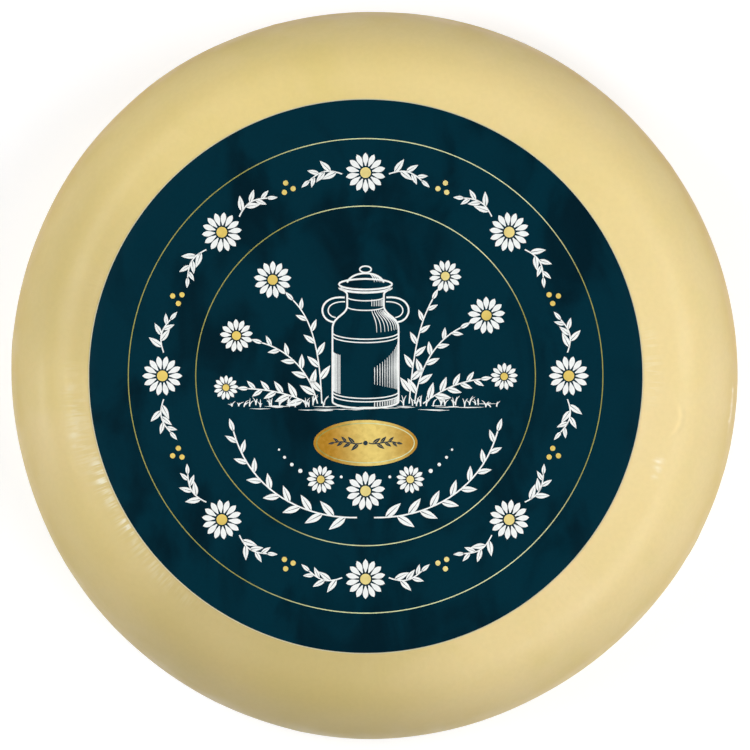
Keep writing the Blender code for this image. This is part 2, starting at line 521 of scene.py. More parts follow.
def makeCoatFinish():
    material, tree, shader, place = newMaterial("straw_coating")
    x, y, z = partsOf(tree, place)
    around = vectorCalc(tree, "NORMALIZE", vectorOf(tree, x, y))
    side = rangeOf(tree, z, *coatLook["sideShadeLevels"], 1.0, 0.0)
    brushed, swept = brushMarks(tree, place, around)
    tint = calc(tree, "SUBTRACT", spreadOf(tree, brushed, *coatLook["brushTone"]), 1.0)
    tint = calc(tree, "MULTIPLY_ADD", tint, swept, 1.0)

    beyond, direction = beyondLabel(tree, place, labelSizes)
    turns = labelSizes["Label Radius"] / coatLook["streakPitch"]
    stretch, seed = coatLook["streakStretch"], coatLook["streakSeed"]
    streaks = labelStreaks(tree, beyond, direction, turns, stretch, seed)
    offPaper = rangeOf(tree, beyond, 0.0, 0.0012)
    puckered = calc(tree, "MULTIPLY", puckerSum(tree, direction, beyond), offPaper)

    colour = coatColour(tree, place, around, side)
    # Painted glints over the coating's colour.
    colour = blendColours(tree, coatGlintFlecks(tree, place, streaks, puckered), colour, coatLook["glintColour"])
    # Painted light and shade over the coating's colour.
    shade = paintedCoatLight(tree, place, direction, side, tint)
    tree.links.new(vectorCalc(tree, "MULTIPLY", colour, shade), shader.inputs["Base Color"])
    rough = grainOf(tree, place, 55.0, 3.0, *coatLook["roughness"])
    tree.links.new(rough, shader.inputs["Roughness"])
    shader.inputs["Specular IOR Level"].default_value = coatLook["specular"]
    shader.inputs["Subsurface Weight"].default_value = coatLook["subsurface"]
    shader.inputs["Subsurface Radius"].default_value = coatLook["subsurfaceRadius"]
    shader.inputs["Subsurface Scale"].default_value = coatLook["subsurfaceScale"]
    shader.inputs["Coat Weight"].default_value = coatLook["coatWeight"]
    shader.inputs["Coat Roughness"].default_value = coatLook["coatRoughness"]

    start, end, strength = coatLook["faintWrinkles"]
    faint = rangeOf(tree, beyond, start, end, strength, 0.0)
    wrinkles = productOf(tree, (streaks, offPaper, calc(tree, "ADD", puckered, faint)))
    bumpChain(tree, shader, (
        (noiseOf(tree, place, 110.0, 1.0), 0.00010),
        (calc(tree, "MULTIPLY", brushed, swept), 0.00016),
        (wrinkles, 0.00034),
        (noiseOf(tree, place, 620.0, 2.0), 0.00003),
    ))
    return material


# Wheel: the turned form of the pressed cheese, with the relief of its coating

wheelSizes = {
    "Wheel Radius": 0.1750,
    "Wheel Height": 0.1150,
    "Bulge Level": 0.0540,
    "Top Flat Radius": 0.1400,
    "Base Flat Radius": 0.1360,
    "Top Crown": 0.0012,
    "Upper Roundness": 2.15,
    "Lower Roundness": 2.30,
    "Turn Steps": 1200,
    "Axis X": -0.000144,          # brings the middle of the pressed outline over the origin
    "Axis Y": 0.000532,
    "Label X": labelSizes["Label X"],
    "Label Y": labelSizes["Label Y"],
    "Label Radius": labelSizes["Label Radius"],
    "Collar Inset": 0.0015,       # the fine rings start this far inside the label's edge
    "Skin Inset": 0.00012,        # keeps the relief inside the solid's box
    "Welt Height": 0.00022,       # the rim of coating drawn up against the label
    "Welt Width": 0.0016,
    "Pucker Depth": 0.00022,      # fine radial creases that start at the label
    "Pucker Reach": 0.021,
    "Pucker Pitch": 0.0030,
    "Pucker Stretch": 60.0,
    "Dent Depth": 0.00045,
    "Dent Size": 0.060,
    "Ripple Depth": 0.00012,
    "Ripple Size": 0.017,
    "Crease Height": 0.00016,     # short soft runs of the coating
    "Ridge Width": 0.0013,
    "Seed": 4.0,
}
wheelRings = {"under": 4, "collar": 13, "upper": 33, "lower": 25, "base": 3}
outlineLobes = ((2, 0.0002, 105.0), (3, 0.0007, 15.0), (4, 0.0002, 72.0), (7, 0.0001, 12.0))
faceWaves = ((3.1, 1.7, 0.00030, 20.0), (-2.2, 4.3, 0.00022, 140.0), (6.4, 3.8, 0.00012, 260.0))
sideSwells = ((3, 0.0007, 70.0, 0.036), (5, 0.0004, 200.0, 0.080))
swellReach = 0.020
faceLevels = (0.085, 0.105)       # the relief round the label fades in between these levels
baseLevels = (0.0005, 0.010)      # and all relief between these, so that the base stays flat
coverReach = 0.003                # under the label the coating is even from this far inside its edge


# How far along each zone of the profile a ring is, from 0 to 1.
def zoneShares(tree, ring):
    shares = {}
    start = 0
    for zone, count in wheelRings.items():
        shares[zone] = rangeOf(tree, ring, float(start), float(start + count), smooth=False)
        start += count
    return shares


# swing * cos(lobes * (angle - peak)), added up over the rows
def lobeSum(tree, angle, rows):
    waves = []
    for lobes, swing, peak in rows:
        turned = calc(tree, "MULTIPLY", calc(tree, "SUBTRACT", angle, math.radians(peak)), float(lobes))
        waves.append(calc(tree, "MULTIPLY", calc(tree, "COSINE", turned), swing))
    return sumOf(tree, waves)


def faceWaveSum(tree, x, y):
    waves = []
    for across, along, swing, phase in faceWaves:
        run = calc(tree, "ADD", calc(tree, "MULTIPLY", x, across), calc(tree, "MULTIPLY", y, along))
        angle = calc(tree, "MULTIPLY_ADD", run, fullTurn, math.radians(phase))
        waves.append(calc(tree, "MULTIPLY", calc(tree, "SINE", angle), swing))
    return sumOf(tree, waves)


def sideSwellSum(tree, angle, level):
    swells = []
    for lobes, swing, peak, middle in sideSwells:
        fade = humpOf(tree, level, middle, swellReach)
        swells.append(calc(tree, "MULTIPLY", lobeSum(tree, angle, ((lobes, swing, peak),)), fade))
    return sumOf(tree, swells)


# One arm of a superellipse: sin or cos of a share of a quarter turn, to the power 2 / roundness.
def arm(tree, wave, share, roundness):
    angle = calc(tree, "MULTIPLY", share, quarterTurn)
    base = calc(tree, "MAXIMUM", calc(tree, wave, angle), 0.0)
    return calc(tree, "POWER", base, calc(tree, "DIVIDE", 2.0, roundness))


# The place of each grid point on the pressed wheel.
def wheelPlace(tree, given, ring, angle):
    share = zoneShares(tree, ring)
    topFlat, radius, baseFlat = given["Top Flat Radius"], given["Wheel Radius"], given["Base Flat Radius"]
    # Under the label the rings are few, and the collar round it is fine.
    collarStart = calc(tree, "SUBTRACT", given["Label Radius"], given["Collar Inset"])
    collar = calc(tree, "MULTIPLY", calc(tree, "SUBTRACT", topFlat, collarStart), share["collar"])
    face = calc(tree, "MULTIPLY_ADD", collarStart, calc(tree, "POWER", share["under"], 0.6), collar)
    upperOut = arm(tree, "SINE", share["upper"], given["Upper Roundness"])
    upperDown = calc(tree, "SUBTRACT", 1.0, arm(tree, "COSINE", share["upper"], given["Upper Roundness"]))
    left = calc(tree, "SUBTRACT", 1.0, share["lower"])
    lowerIn = calc(tree, "SUBTRACT", arm(tree, "SINE", left, given["Lower Roundness"]), 1.0)
    lowerDown = arm(tree, "COSINE", left, given["Lower Roundness"])
    out = sumOf(tree, (
        face,
        calc(tree, "MULTIPLY", calc(tree, "SUBTRACT", radius, topFlat), upperOut),
        calc(tree, "MULTIPLY", calc(tree, "SUBTRACT", radius, baseFlat), lowerIn),
        calc(tree, "MULTIPLY", calc(tree, "MULTIPLY", baseFlat, share["base"]), -1.0),
    ))
    # The rings near the label have its middle, and the others have the wheel's.
    follow = rangeOf(tree, face, given["Label Radius"], topFlat, 1.0, 0.0)
    middles = []
    for way in "XY":
        offset = calc(tree, "SUBTRACT", given["Label " + way], given["Axis " + way])
        middles.append(calc(tree, "MULTIPLY_ADD", offset, follow, given["Axis " + way]))
    turn = (calc(tree, "COSINE", angle), calc(tree, "SINE", angle))
    onFace = [calc(tree, "MULTIPLY_ADD", face, wave, middle) for wave, middle in zip(turn, middles)]
    distance = vectorCalc(tree, "LENGTH", vectorOf(tree, *onFace))
    arch = calc(tree, "COSINE", calc(tree, "MULTIPLY", calc(tree, "DIVIDE", distance, topFlat), halfTurn))
    crown = productOf(tree, (calc(tree, "SUBTRACT", 1.0, arch), given["Top Crown"], 0.5))
    shoulderLevel = calc(tree, "SUBTRACT", given["Wheel Height"], given["Top Crown"])
    drop = calc(tree, "MULTIPLY", calc(tree, "SUBTRACT", shoulderLevel, given["Bulge Level"]), upperDown)
    fall = calc(tree, "MULTIPLY", given["Bulge Level"], lowerDown)
    level = calc(tree, "SUBTRACT", given["Wheel Height"], sumOf(tree, (crown, drop, fall)))
    # Pressing: the outline and the side stand a little out of round, and the upper face waves.
    swing = calc(tree, "ADD", lobeSum(tree, angle, outlineLobes), sideSwellSum(tree, angle, level))
    pressed = calc(tree, "MULTIPLY", rangeOf(tree, out, 0.0, radius), swing)
    spread = calc(tree, "ADD", out, pressed)
    x, y = (calc(tree, "MULTIPLY_ADD", spread, wave, middle) for wave, middle in zip(turn, middles))
    topShare = rangeOf(tree, level, given["Bulge Level"], shoulderLevel)
    z = calc(tree, "MULTIPLY_ADD", topShare, faceWaveSum(tree, x, y), level)
    return vectorOf(tree, x, y, z)


# Noise that swings round 0, with features of a size in metres.
def swingOf(tree, place, size, detail):
    return calc(tree, "SUBTRACT", noiseOf(tree, place, calc(tree, "DIVIDE", 1.0, size), detail), 0.5)


# How far the coating stands out or in at each point.
def coatRelief(tree, given):
    place = ownPlace(tree)
    level = partsOf(tree, place)["Z"]
    seed = vectorOf(tree, 0.0, 0.0, given["Seed"])
    shifted = vectorCalc(tree, "ADD", place, seed)
    beyond, direction = beyondLabel(tree, place, given)
    upward = rangeOf(tree, level, *faceLevels)
    covered = calc(tree, "MULTIPLY", upward, rangeOf(tree, beyond, 0.0, -coverReach))
    offBase = rangeOf(tree, level, *baseLevels)
    uncovered = calc(tree, "MULTIPLY", calc(tree, "SUBTRACT", 1.0, covered), offBase)

    # Puckers: streaks that run away from the label, in patches
    turns = calc(tree, "DIVIDE", given["Label Radius"], given["Pucker Pitch"])
    streaks = labelStreaks(tree, beyond, direction, turns, given["Pucker Stretch"], given["Seed"])
    streaks = calc(tree, "SUBTRACT", streaks, 0.5)
    patchPlace = vectorCalc(tree, "ADD", direction, seed)
    patches = rangeOf(tree, noiseOf(tree, patchPlace, 1.9, 1.0), 0.38, 0.62, 0.25, 1.0)
    start = rangeOf(tree, beyond, -0.0004, 0.0025)
    end = rangeOf(tree, beyond, 0.004, given["Pucker Reach"], 1.0, 0.0)
    puckers = productOf(tree, (streaks, patches, start, end, upward, given["Pucker Depth"], 2.0))

    # Welt: a low ridge close to the label
    lively = grainOf(tree, patchPlace, 7.0, 2.0, 0.35, 1.0)
    welt = humpOf(tree, beyond, 0.0011, given["Welt Width"])
    welt = productOf(tree, (welt, lively, upward, given["Welt Height"]))

    # Dents and ripples all over
    deeper = rangeOf(tree, level, 0.070, 0.105, 2.0, 1.0)
    dents = productOf(tree, (swingOf(tree, shifted, given["Dent Size"], 1.0), given["Dent Depth"], deeper))
    ripples = swingOf(tree, shifted, given["Ripple Size"], 2.0)
    uneven = calc(tree, "MULTIPLY_ADD", ripples, given["Ripple Depth"], dents)

    # Creases: short pieces of the lines where a slow noise is halfway
    halfway = calc(tree, "SUBTRACT", noiseOf(tree, shifted, 17.0, 1.0, 0.5, 0.8), 0.5)
    crest = rangeOf(tree, calc(tree, "ABSOLUTE", halfway), 0.0, 0.035, 1.0, 0.0)
    kept = rangeOf(tree, noiseOf(tree, shifted, 31.0, 0.0), 0.60, 0.72)
    crease = productOf(tree, (crest, kept, given["Crease Height"]))

    relief = calc(tree, "MULTIPLY", calc(tree, "ADD", uneven, crease), uncovered)
    relief = sumOf(tree, (relief, puckers, welt, ridgeSum(tree, place, given["Ridge Width"])))
    return calc(tree, "SUBTRACT", relief, calc(tree, "MULTIPLY", given["Skin Inset"], offBase))


def makeWheelTree(sizes):
    tree, given = newTree("turn the pressed wheel", sizes)
    grid, ring, angle = ringGrid(tree, float(sum(wheelRings.values())), given["Turn Steps"])
    formed = mergeClose(tree, putAt(tree, grid, wheelPlace(tree, given, ring, angle)), 0.000002)
    outward = addNode(tree, "GeometryNodeInputNormal").outputs[0]
    inputs = {"Geometry": formed, "Offset": scaled(tree, outward, coatRelief(tree, given))}
    raised = addNode(tree, "GeometryNodeSetPosition", inputs).outputs[0]
    endTree(tree, smoothShaded(tree, raised), given["Coating"])
    return tree


def makeWheel():
    sizes = {**wheelSizes, "Coating": makeCoatFinish()}
    mesh = meshFromTree("coated_wheel", makeWheelTree(sizes), sizes)
    wheel = linkPiece("coated_wheel", mesh)
    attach(wheel, "root")
    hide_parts("cheese_wheel")
    print("wheel:", len(mesh.polygons), "faces")
    return wheel


wheelPiece = makeWheel()


# Label: dark blue-green printed paper, laid over the face and following it

labelLook = {
    "teal": (0.0003, 0.0232, 0.0380, 1.0),
    "deep": (0.0002, 0.0118, 0.0202, 1.0),    # cloudy darker places
    "core": (0.60, 0.58, 0.40),               # the cut edge of the paper
    "roughness": (0.40, 0.52),
    "specular": 0.02,
}


def makeLabelPaper():
    material, tree, shader, place = newMaterial("label_paper")
    stretched = addNode(tree, "ShaderNodeMapping", {"Vector": place, "Scale": (1.0, 0.55, 1.0)}).outputs[0]
    clouds = rangeOf(tree, noiseOf(tree, stretched, 36.0, 3.0, 0.55, 0.6), 0.43, 0.70)
    colour = blendColours(tree, clouds, labelLook["teal"], labelLook["deep"])
    specks = grainOf(tree, place, 900.0, 1.0, 0.96, 1.04)
    tree.links.new(scaled(tree, colour, specks), shader.inputs["Base Color"])
    rough = grainOf(tree, place, 70.0, 2.0, *labelLook["roughness"])
    tree.links.new(rough, shader.inputs["Roughness"])
    shader.inputs["Specular IOR Level"].default_value = labelLook["specular"]
    bumpChain(tree, shader, ((noiseOf(tree, place, 1500.0, 2.0), 0.000012),))
    return material


def makePaperCore():
    material, tree, shader, place = newMaterial("paper_core")
    fibres = grainOf(tree, place, 2600.0, 2.0, 0.90, 1.04)
    tree.links.new(scaled(tree, labelLook["core"], fibres), shader.inputs["Base Color"])
    shader.inputs["Roughness"].default_value = 0.85
    return material


# Where a ray straight down from a place meets an object, raised by a lift.
def dropOnto(tree, target, place, lift):
    x, y = partsOf(tree, place)[:2]
    inputs = {
        "Target Geometry": addNode(tree, "GeometryNodeObjectInfo", {"Object": target}).outputs["Geometry"],
        "Source Position": vectorOf(tree, x, y, 1.0),
        "Ray Direction": (0.0, 0.0, -1.0),
        "Ray Length": 2.0,
    }
    hit = partsOf(tree, addNode(tree, "GeometryNodeRaycast", inputs).outputs["Hit Position"])
    return vectorOf(tree, x, y, calc(tree, "ADD", hit["Z"], lift))


# Makes a closed sheet of an open surface that faces up.
def thickened(tree, surface, thickness):
    up = {"Mesh": surface, "Offset": (0.0, 0.0, 1.0), "Offset Scale": thickness, "Individual": False}
    raised = addNode(tree, "GeometryNodeExtrudeMesh", up).outputs["Mesh"]
    under = addNode(tree, "GeometryNodeFlipFaces", {"Mesh": surface}).outputs[0]
    return mergeClose(tree, joinAll(tree, (raised, under)), 0.0000005)


def makeLabelTree(sizes):
    tree, given = newTree("lay the round label", sizes)
    grid, ring, angle = ringGrid(tree, given["Rings"], given["Turn Steps"])
    # All rings but the last spread over the flat part, and the last one is the rounded edge.
    inner = calc(tree, "SUBTRACT", given["Label Radius"], given["Edge Round"])
    flatRings = calc(tree, "SUBTRACT", given["Rings"], 1.0)
    flat = rangeOf(tree, ring, 0.0, flatRings, smooth=False)
    edge = calc(tree, "MAXIMUM", calc(tree, "SUBTRACT", ring, flatRings), 0.0)
    radius = calc(tree, "MULTIPLY_ADD", inner, flat, calc(tree, "MULTIPLY", edge, given["Edge Round"]))
    x = calc(tree, "MULTIPLY_ADD", radius, calc(tree, "COSINE", angle), given["Label X"])
    y = calc(tree, "MULTIPLY_ADD", radius, calc(tree, "SINE", angle), given["Label Y"])
    drop = calc(tree, "MULTIPLY", edge, calc(tree, "MULTIPLY", given["Edge Drop"], -1.0))
    lift = calc(tree, "SUBTRACT", drop, given["Sunk"])
    laid = putAt(tree, grid, dropOnto(tree, given["Wheel"], vectorOf(tree, x, y), lift))
    inputs = {"Geometry": mergeClose(tree, laid, 0.000002), "Material": given["Paper"]}
    paper = addNode(tree, "GeometryNodeSetMaterial", inputs).outputs[0]
    sheet = thickened(tree, paper, calc(tree, "ADD", given["Paper Thickness"], given["Sunk"]))
    # The faces of the last ring and of the cut edge show the core of the paper.
    beyond = beyondLabel(tree, ownPlace(tree), given)[0]
    worn = calc(tree, "GREATER_THAN", beyond, calc(tree, "MULTIPLY", given["Edge Round"], -0.75))
    endTree(tree, smoothShaded(tree, sheet), given["Core"], worn)
    return tree


def finishMesh(mesh, sharpAngle=40.0):
    work = bmesh.new()
    work.from_mesh(mesh)
    bmesh.ops.remove_doubles(work, verts=work.verts, dist=0.0000005)
    bmesh.ops.recalc_face_normals(work, faces=work.faces)
    work.to_mesh(mesh)
    work.free()
    mesh.shade_smooth()
    mesh.set_sharp_from_angle(angle=math.radians(sharpAngle))


def makeLabel():
    sizes = {**labelSizes, "Wheel": wheelPiece, "Paper": makeLabelPaper(), "Core": makePaperCore()}
    mesh = meshFromTree("round_label", makeLabelTree(sizes), sizes)
    finishMesh(mesh)
    label = linkPiece("round_label", mesh)
    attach(label, "root")
    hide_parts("label")
    print("label:", len(mesh.polygons), "faces")
    return label


labelPiece = makeLabel()


# Print: inks and foil, drawn in millimetres on the label's own plane

inkLook = {
    "white": (0.86, 0.88, 0.86),
    "dark": (0.0039, 0.0235, 0.0392, 1.0),
    "darkRoughness": 0.85,
    "ringGold": (0.34, 0.33, 0.08, 1.0),
    # the pale golds are the foil's painted highlight
    "ringGoldPale": (0.76, 0.80, 0.45, 1.0),
    "flowerGold": (0.84, 0.62, 0.14, 1.0),
    "flowerGoldPale": (0.92, 0.76, 0.28, 1.0),
    "foilMetal": 0.35,
    "foilRoughness": (0.30, 0.42),
    "plaqueEnds": (0.50, 0.24, 0.012, 1.0),
    "plaqueMiddle": (0.90, 0.68, 0.19, 1.0),
    "plaqueSlant": 0.12,
}


def makeWhiteInk():
    material, tree, shader, place = newMaterial("white_ink")
    cover = grainOf(tree, place, 700.0, 2.0, 0.93, 1.0)
    tree.links.new(scaled(tree, inkLook["white"], cover), shader.inputs["Base Color"])
    shader.inputs["Roughness"].default_value = 0.55
    shader.inputs["Specular IOR Level"].default_value = 0.3
    bumpChain(tree, shader, ((noiseOf(tree, place, 1400.0, 1.0), 0.00001),))
    return material


# The plain matt ink on the plaque.
def makeDarkInk():
    material, _, shader, _ = newMaterial("dark_ink")
    shader.inputs["Base Color"].default_value = inkLook["dark"]
    shader.inputs["Roughness"].default_value = inkLook["darkRoughness"]
    return material


def finishFoil(tree, shader, place, colour):
    tree.links.new(colour, shader.inputs["Base Color"])
    shader.inputs["Metallic"].default_value = inkLook["foilMetal"]
    rough = grainOf(tree, place, 500.0, 2.0, *inkLook["foilRoughness"])
    tree.links.new(rough, shader.inputs["Roughness"])
    bumpChain(tree, shader, ((noiseOf(tree, place, 1100.0, 1.0), 0.000015),))


def makeGoldFoil(kind):
    material, tree, shader, place = newMaterial(kind + "_foil")
    # Painted highlight: it is palest in front and at the back, a little to the right.
    flat = vectorCalc(tree, "MULTIPLY", place, (1.0, 1.0, 0.0))
    x, y = partsOf(tree, vectorCalc(tree, "NORMALIZE", flat))[:2]
    foilHighlight = rangeOf(tree, calc(tree, "MULTIPLY_ADD", x, 0.3, calc(tree, "ABSOLUTE", y)), 0.66, 1.0)
    colour = blendColours(tree, foilHighlight, inkLook[kind + "Gold"], inkLook[kind + "GoldPale"])
    finishFoil(tree, shader, place, colour)
    return material


# The plaque shades from dark ends to a pale middle, as a gold gradient does in print.
def makePlaqueFoil():
    material, tree, shader, place = newMaterial("plaque_foil")
    x, y = partsOf(tree, place)[:2]
    across = calc(tree, "SUBTRACT", x, labelSizes["Label X"])
    slanted = calc(tree, "MULTIPLY_ADD", y, inkLook["plaqueSlant"], across)
    share = calc(tree, "DIVIDE", calc(tree, "ABSOLUTE", slanted), plaque["halfWidth"] * mm)
    shine = rangeOf(tree, share, 0.0, 0.92, 1.0, 0.0)
    finishFoil(tree, shader, place, blendColours(tree, shine, inkLook["plaqueEnds"], inkLook["plaqueMiddle"]))
    return material


# A stroke is (points, widths, closed). A closed one is filled.
def line(points, width, taper=0.0):
    last = len(points) - 1
    widths = [width * (1.0 - taper * (2.0 * i / last - 1.0) ** 2) for i in range(last + 1)]
    return points, widths, False


def filled(points):
    return points, [1.0] * len(points), True


def bezier(start, first, second, end, steps=14):
    points = []
    for i in range(steps + 1):
        share = i / steps
        rest = 1 - share
        weights = (rest ** 3, 3 * share * rest ** 2, 3 * share * share * rest, share ** 3)
        pulls = list(zip(weights, (start, first, second, end)))
        points.append(tuple(sum(weight * corner[axis] for weight, corner in pulls) for axis in (0, 1)))
    return points


# Part of an ellipse, from one angle to another in degrees.
def bow(x, y, wide, high, start=0.0, end=360.0, steps=24):
    angles = [math.radians(start + (end - start) * i / steps) for i in range(steps + 1)]
    return [(x + wide * math.cos(angle), y + high * math.sin(angle)) for angle in angles]


def disc(x, y, radius, steps=16):
    return filled(bow(x, y, radius, radius, 0.0, 360.0, steps)[:-1])


def mirrored(strokes):
    return [([(-x, y) for x, y in points], widths, closed) for points, widths, closed in strokes]


def petal(x, y, inner, outer, wide, angle, steps=6):
    shares = [i / steps for i in range(1, steps)]
    side = [(share, wide * math.sin(math.pi * share ** 1.25) ** 0.72) for share in shares]
    flat = [(0.0, wide * 0.18)] + side + [(1.0, 0.0)]
    outline = flat + [(share, -half) for share, half in reversed(flat[:-1])]
    cosine, sine = math.cos(angle), math.sin(angle)
    placed = []
    for share, half in outline:
        along = inner + (outer - inner) * share
        placed.append((x + along * cosine - half * sine, y + along * sine + half * cosine))
    return filled(placed)


heartShare = 0.27    # the gold heart of a daisy, as a share of its radius
heartProud = 0.00011


def daisy(x, y, radius, petals=13, turn=0.0):
    wide = math.pi * radius * 0.62 / petals
    angles = [turn + fullTurn * i / petals for i in range(petals)]
    return [petal(x, y, radius * 0.34, radius, wide, angle) for angle in angles]


# A leaf of length 1 along X, as two halves with the midrib left open.
def leafHalves(wide=0.17, gap=0.022, steps=7):
    shares = [i / steps for i in range(steps + 1)]
    halves = []
    for side in (1.0, -1.0):
        outer = [(t, side * (gap * (1.0 - t) + wide * math.sin(math.pi * t ** 0.8))) for t in shares]
        rib = [(t, side * gap * (1.0 - t)) for t in reversed(shares[1:-1])]
        halves.append(filled(outer + rib))
    return halves


def drawingObject(name, strokes, unit=mm):
    curve = bpy.data.curves.new(name, "CURVE")
    curve.dimensions = "3D"
    for points, widths, closed in strokes:
        spline = curve.splines.new("POLY")
        spline.points.add(len(points) - 1)
        for knot, (x, y), width in zip(spline.points, points, widths):
            knot.co = (x * unit, y * unit, 0.0, 1.0)
            knot.radius = width * unit
        spline.use_cyclic_u = closed
    return linkPiece(name, curve)


# The tree that prints: it fills and widens the strokes, sets leaves along them, repeats the
# drawing round the label's middle, lays it on the label and gives it its thickness.
printSizes = {
    "Leaves": 0,                # on each stroke; 0 for none
    "Leaf Length": 0.008,
    "Leaf Lean": 0.70,          # radians from the stem
    "Leaf Taper": 0.35,
    "Copies": 1,
    "Ring Radius": 0.0,
    "First Angle": quarterTurn,
    "Lift": -0.00003,           # from the paper to the underside
    "Proud": 0.00008,
    "Print X": labelSizes["Label X"] - 0.0001,     # printed a little off the middle of the paper
    "Print Y": labelSizes["Label Y"] + 0.0002,
}
layerStep = 0.000006            # strokes that cross lie this far over each other
layerCount = 4


# Fills each closed stroke on its own, so that strokes which overlap stay whole.
def filledShapes(tree, strokes):
    return addNode(tree, "GeometryNodeFillCurve", {"Curve": strokes, "Group ID": ownIndex(tree)}).outputs[0]


# Flat ribbons along the open strokes, as wide as each stroke says.
def ribbonsOf(tree, strokes):
    ends = {"Start": (-0.5, 0.0, 0.0), "End": (0.5, 0.0, 0.0)}
    inputs = {
        "Curve": addNode(tree, "GeometryNodeSetCurveNormal", {"Curve": strokes}, mode="Z_UP").outputs[0],
        "Profile Curve": addNode(tree, "GeometryNodeCurvePrimitiveLine", ends).outputs[0],
        "Scale": addNode(tree, "GeometryNodeInputRadius").outputs[0],
    }
    return addNode(tree, "GeometryNodeCurveToMesh", inputs).outputs[0]


# Copies of one shape on points, each turned by its own angle, as real geometry.
def copiesAt(tree, points, shape, angle, **more):
    turned = addNode(tree, "FunctionNodeEulerToRotation", {0: vectorOf(tree, 0.0, 0.0, angle)}).outputs[0]
    inputs = {"Points": points, "Instance": shape, "Rotation": turned, **more}
    copies = addNode(tree, "GeometryNodeInstanceOnPoints", inputs).outputs[0]
    return addNode(tree, "GeometryNodeRealizeInstances", {0: copies}).outputs[0]


# Leaves along the open strokes, on one side and the other by turns, and straight on at the tip.
def leavesAlong(tree, given, stems):
    count = calc(tree, "MAXIMUM", given["Leaves"], 2.0)
    marks = addNode(tree, "GeometryNodeCurveToPoints", {"Curve": stems, "Count": count}, mode="COUNT")
    step = calc(tree, "MODULO", ownIndex(tree), count)
    share = calc(tree, "DIVIDE", step, calc(tree, "SUBTRACT", count, 1.0))
    side = calc(tree, "MULTIPLY_ADD", calc(tree, "MODULO", step, 2.0), 2.0, -1.0)
    besideTip = calc(tree, "LESS_THAN", share, 0.99)
    lean = productOf(tree, (side, besideTip, given["Leaf Lean"]))
    way = partsOf(tree, marks.outputs["Tangent"])
    angle = calc(tree, "ADD", calc(tree, "ARCTAN2", way["Y"], way["X"]), lean)
    smallest = calc(tree, "SUBTRACT", 1.0, given["Leaf Taper"])
    size = calc(tree, "MULTIPLY", given["Leaf Length"], rangeOf(tree, share, 0.0, 1.0, 1.0, smallest))
    leaf = addNode(tree, "GeometryNodeObjectInfo", {"Object": given["Leaf"]}).outputs["Geometry"]
    asked = calc(tree, "GREATER_THAN", given["Leaves"], 0.5)
    wanted = calc(tree, "MULTIPLY", asked, calc(tree, "GREATER_THAN", step, 0.5))
    more = {"Selection": wanted, "Scale": vectorOf(tree, size, size, size)}
    return copiesAt(tree, marks.outputs["Points"], filledShapes(tree, leaf), angle, **more)


def makePrintTree(sizes):
    tree, given = newTree("print on the label", sizes)
    drawing = addNode(tree, "GeometryNodeObjectInfo", {"Object": given["Drawing"]}).outputs["Geometry"]
    kinds = addNode(tree, "GeometryNodeSeparateComponents", {0: drawing}).outputs
    closed = addNode(tree, "GeometryNodeInputSplineCyclic").outputs[0]
    inputs = {"Geometry": kinds["Curve"], "Selection": closed}
    shapes, stems = addNode(tree, "GeometryNodeSeparateGeometry", inputs, domain="CURVE").outputs[:2]
    ribbons, leaves = ribbonsOf(tree, stems), leavesAlong(tree, given, stems)
    picture = joinAll(tree, (kinds["Mesh"], filledShapes(tree, shapes), ribbons, leaves))

    step = calc(tree, "DIVIDE", fullTurn, given["Copies"])
    angle = calc(tree, "MULTIPLY_ADD", ownIndex(tree), step, given["First Angle"])
    x = calc(tree, "MULTIPLY", calc(tree, "COSINE", angle), given["Ring Radius"])
    y = calc(tree, "MULTIPLY", calc(tree, "SINE", angle), given["Ring Radius"])
    inputs = {"Count": given["Copies"], "Position": vectorOf(tree, x, y)}
    places = addNode(tree, "GeometryNodePoints", inputs).outputs[0]
    copies = copiesAt(tree, places, picture, calc(tree, "SUBTRACT", angle, quarterTurn))

    island = addNode(tree, "GeometryNodeInputMeshIsland").outputs["Island Index"]
    layer = calc(tree, "MULTIPLY", calc(tree, "MODULO", island, float(layerCount)), layerStep)
    middle = vectorOf(tree, given["Print X"], given["Print Y"])
    onLabel = vectorCalc(tree, "ADD", ownPlace(tree), middle)
    laid = dropOnto(tree, given["Label"], onLabel, calc(tree, "ADD", given["Lift"], layer))
    endTree(tree, thickened(tree, putAt(tree, copies, laid), given["Proud"]), given["Ink"])
    return tree


leafShape = drawingObject("leaf_shape", leafHalves(), unit=1.0)
plainInk = makeWhiteInk()
printInputs = {**printSizes, "Drawing": leafShape, "Leaf": leafShape, "Label": labelPiece, "Ink": plainInk}
printTree = makePrintTree(printInputs)


# Prints rows of (name, strokes or a drawn object, ink, changed sizes), and gives their meshes.
# Sizes that a row doesn't change keep the values of printSizes.
def printed(rows):
    meshes = []
    for name, drawn, ink, changes in rows:
        ready = isinstance(drawn, bpy.types.Object)
        drawing = drawn if ready else drawingObject(name + "_drawing", drawn)
        sizes = {**printInputs, "Drawing": drawing, "Ink": ink, **changes}
        meshes.append(meshFromTree(name, printTree, sizes))
        bpy.data.objects.remove(drawing, do_unlink=True)
    return meshes


# Joins printed meshes into one piece with its own finishes.
def makePrintPiece(name, meshes):
    work = bmesh.new()
    whole = bpy.data.meshes.new(name)
    for mesh in meshes:
        finish = next(material for material in mesh.materials if material is not None)
        if finish.name not in whole.materials:
            whole.materials.append(finish)
        slotIndex = whole.materials.find(finish.name)
        before = len(work.faces)
        work.from_mesh(mesh)
        work.faces.ensure_lookup_table()
        for face in work.faces[before:]:
            face.material_index = slotIndex
    work.to_mesh(whole)
    work.free()
    finishMesh(whole)
    piece = linkPiece(name, whole)
    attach(piece, "root")
    print(name + ":", len(whole.polygons), "faces")
    return piece


# Centre picture: a milk churn among meadow flowers, in white line with hatching

